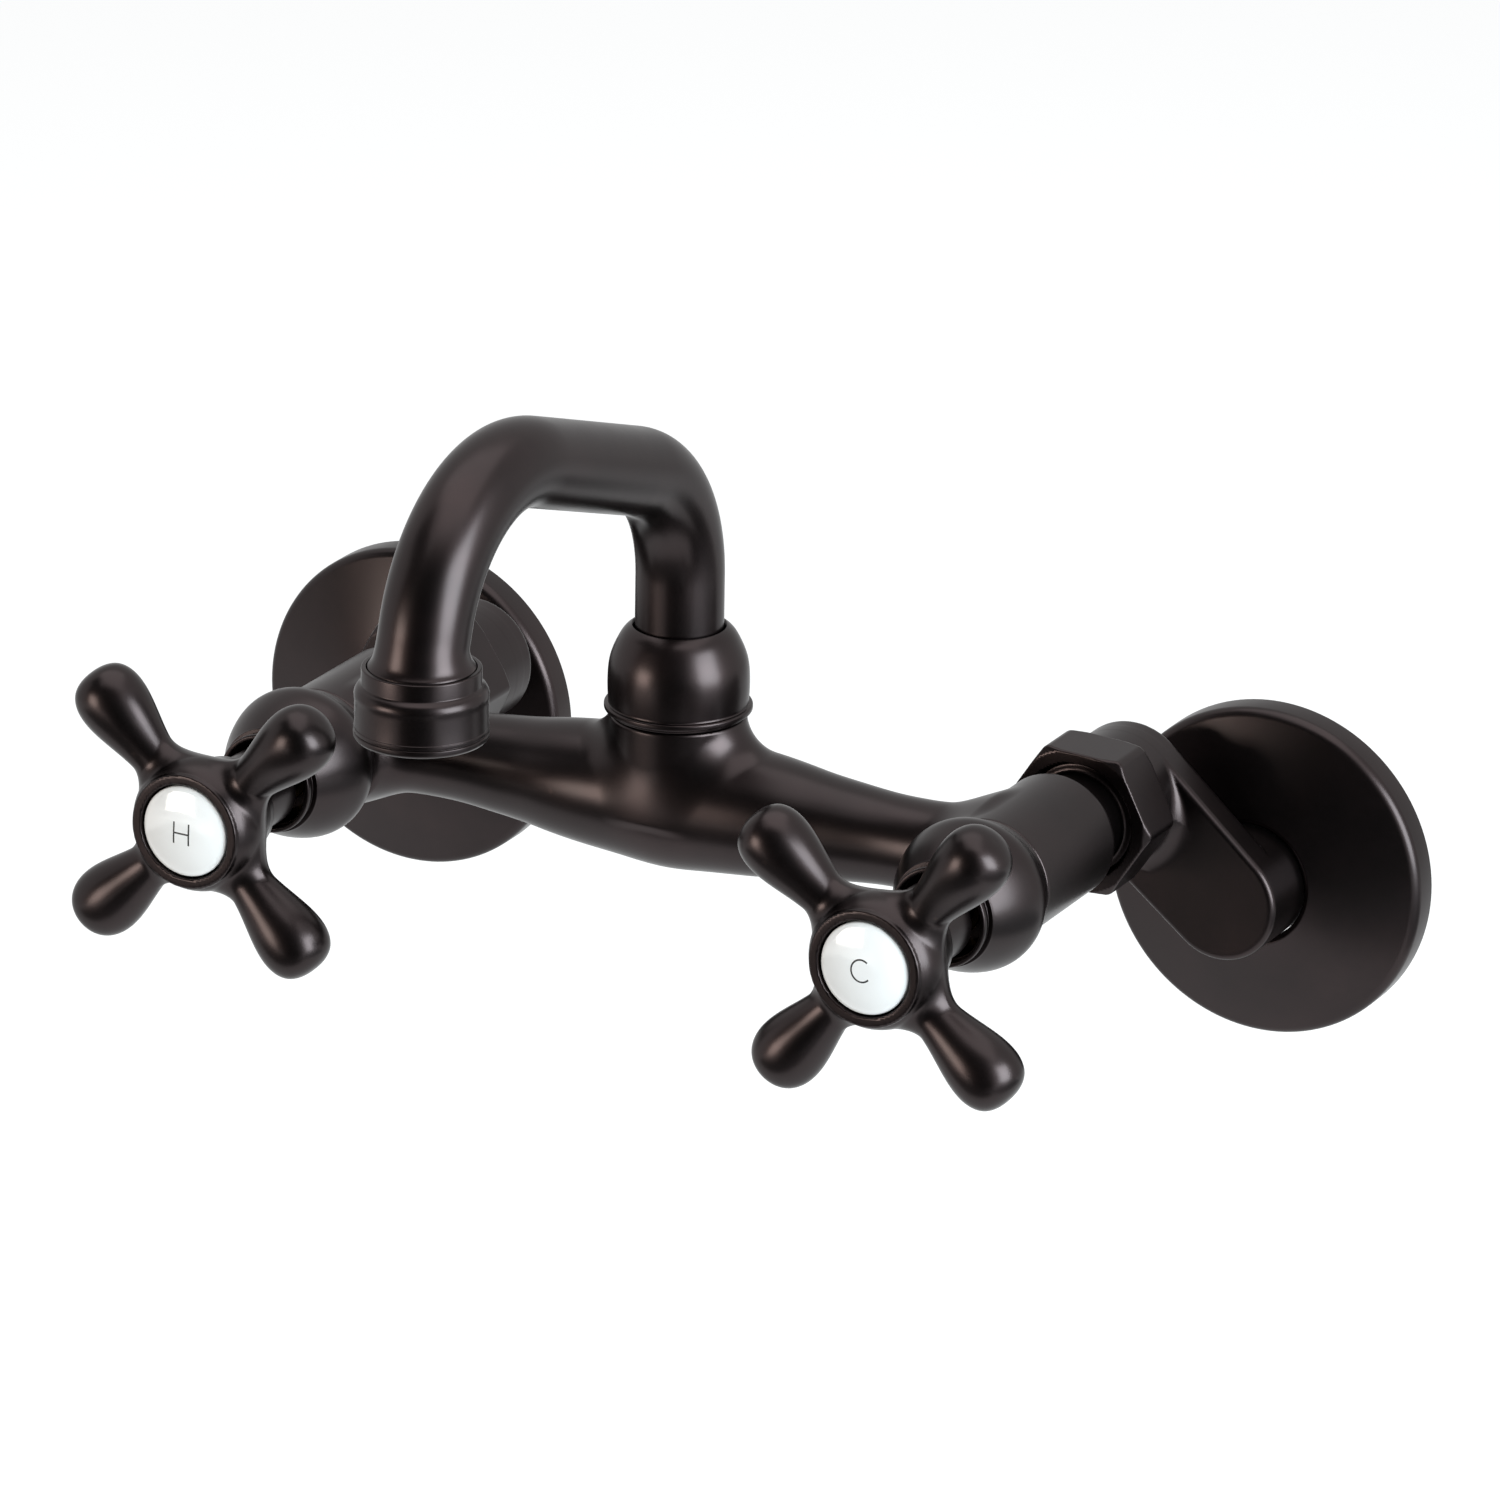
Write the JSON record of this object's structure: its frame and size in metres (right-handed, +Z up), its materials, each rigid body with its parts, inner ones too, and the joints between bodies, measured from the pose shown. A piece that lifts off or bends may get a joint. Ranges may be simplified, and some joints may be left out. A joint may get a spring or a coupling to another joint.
{
  "type": "two handle kitchen faucet",
  "caption": "Wall-mounted bridge kitchen faucet with an arched swinging spout, cross handles with round index buttons, and swivelling eccentric supply arms with round wall flanges.",
  "frame": {"origin": "on the wall plane, midway between the two supply inlets", "axes": "+Z up, +Y into the wall, +X to the user's right as they face the faucet, so the spout points along -Y"},
  "size_m": [0.2688, 0.1945, 0.1551],
  "materials": {
    "bronze": "oil-rubbed bronze over cast brass, dark brown, satin",
    "brass": "plain machined brass",
    "steel": "bright stainless steel",
    "porcelain": "glazed white porcelain",
    "ceramic": "lapped alumina",
    "rubber": "black moulded rubber",
    "plastic": "off-white acetal"
  },
  "bodies": {
    "fixture": {"faucet_body": "bronze", "union_nut_hot": "bronze", "union_nut_cold": "bronze", "union_washer_hot": "rubber", "union_washer_cold": "rubber", "seat_seal_hot": "rubber", "seat_seal_cold": "rubber", "cartridge_shell_hot": "brass", "cartridge_shell_cold": "brass", "fixed_disc_hot": "ceramic", "fixed_disc_cold": "ceramic", "valve_bonnet_hot": "bronze", "valve_bonnet_cold": "bronze", "gland_nut_hot": "bronze", "gland_nut_cold": "bronze", "swivel_collar": "bronze", "spout_bushing": "plastic"},
    "spout": {"spout_tube": "bronze", "spout_retaining_ring": "steel", "spout_seal_lower": "rubber", "spout_seal_upper": "rubber", "aerator_housing": "bronze", "aerator_insert": "plastic", "aerator_washer": "rubber"},
    "hot_handle": {"cross_handle_hot": "bronze", "handle_screw_hot": "steel", "index_button_hot": "porcelain", "valve_stem_hot": "brass", "turning_disc_hot": "ceramic", "stem_seal_hot": "rubber"},
    "cold_handle": {"cross_handle_cold": "bronze", "handle_screw_cold": "steel", "index_button_cold": "porcelain", "valve_stem_cold": "brass", "turning_disc_cold": "ceramic", "stem_seal_cold": "rubber"},
    "hot_arm": {"supply_arm_hot": "bronze", "nut_retaining_ring_hot": "steel"},
    "cold_arm": {"supply_arm_cold": "bronze", "nut_retaining_ring_cold": "steel"},
    "hot_flange": {"wall_flange_hot": "bronze"},
    "cold_flange": {"wall_flange_cold": "bronze"}
  },
  "joints": [
    {"name": "spout_swivel", "type": "hinge", "parent": "fixture", "child": "spout", "pos_m": [0, -0.0748, 0.01977], "axis": [0, 0, 1], "range_deg": [-115, 115]},
    {"name": "hot_handle_turn", "type": "hinge", "parent": "fixture", "child": "hot_handle", "pos_m": [-0.0762, -0.1342, 0.01977], "axis": [0, -1, 0], "range_deg": [0, 90]},
    {"name": "cold_handle_turn", "type": "hinge", "parent": "fixture", "child": "cold_handle", "pos_m": [0.0762, -0.1342, 0.01977], "axis": [0, -1, 0], "range_deg": [-90, 0]},
    {"name": "hot_arm_swivel", "type": "hinge", "parent": "fixture", "child": "hot_arm", "pos_m": [-0.0762, -0.024, 0.01977], "axis": [0, -1, 0], "range_deg": [-40.4, 139.6]},
    {"name": "cold_arm_swivel", "type": "hinge", "parent": "fixture", "child": "cold_arm", "pos_m": [0.0762, -0.024, 0.01977], "axis": [0, -1, 0], "range_deg": [-139.6, 40.4]},
    {"name": "hot_flange_slide", "type": "slide", "parent": "hot_arm", "child": "hot_flange", "axis": [0, -1, 0], "range_m": [0, 0.0055]},
    {"name": "cold_flange_slide", "type": "slide", "parent": "cold_arm", "child": "cold_flange", "axis": [0, -1, 0], "range_m": [0, 0.0055]}
  ]
}
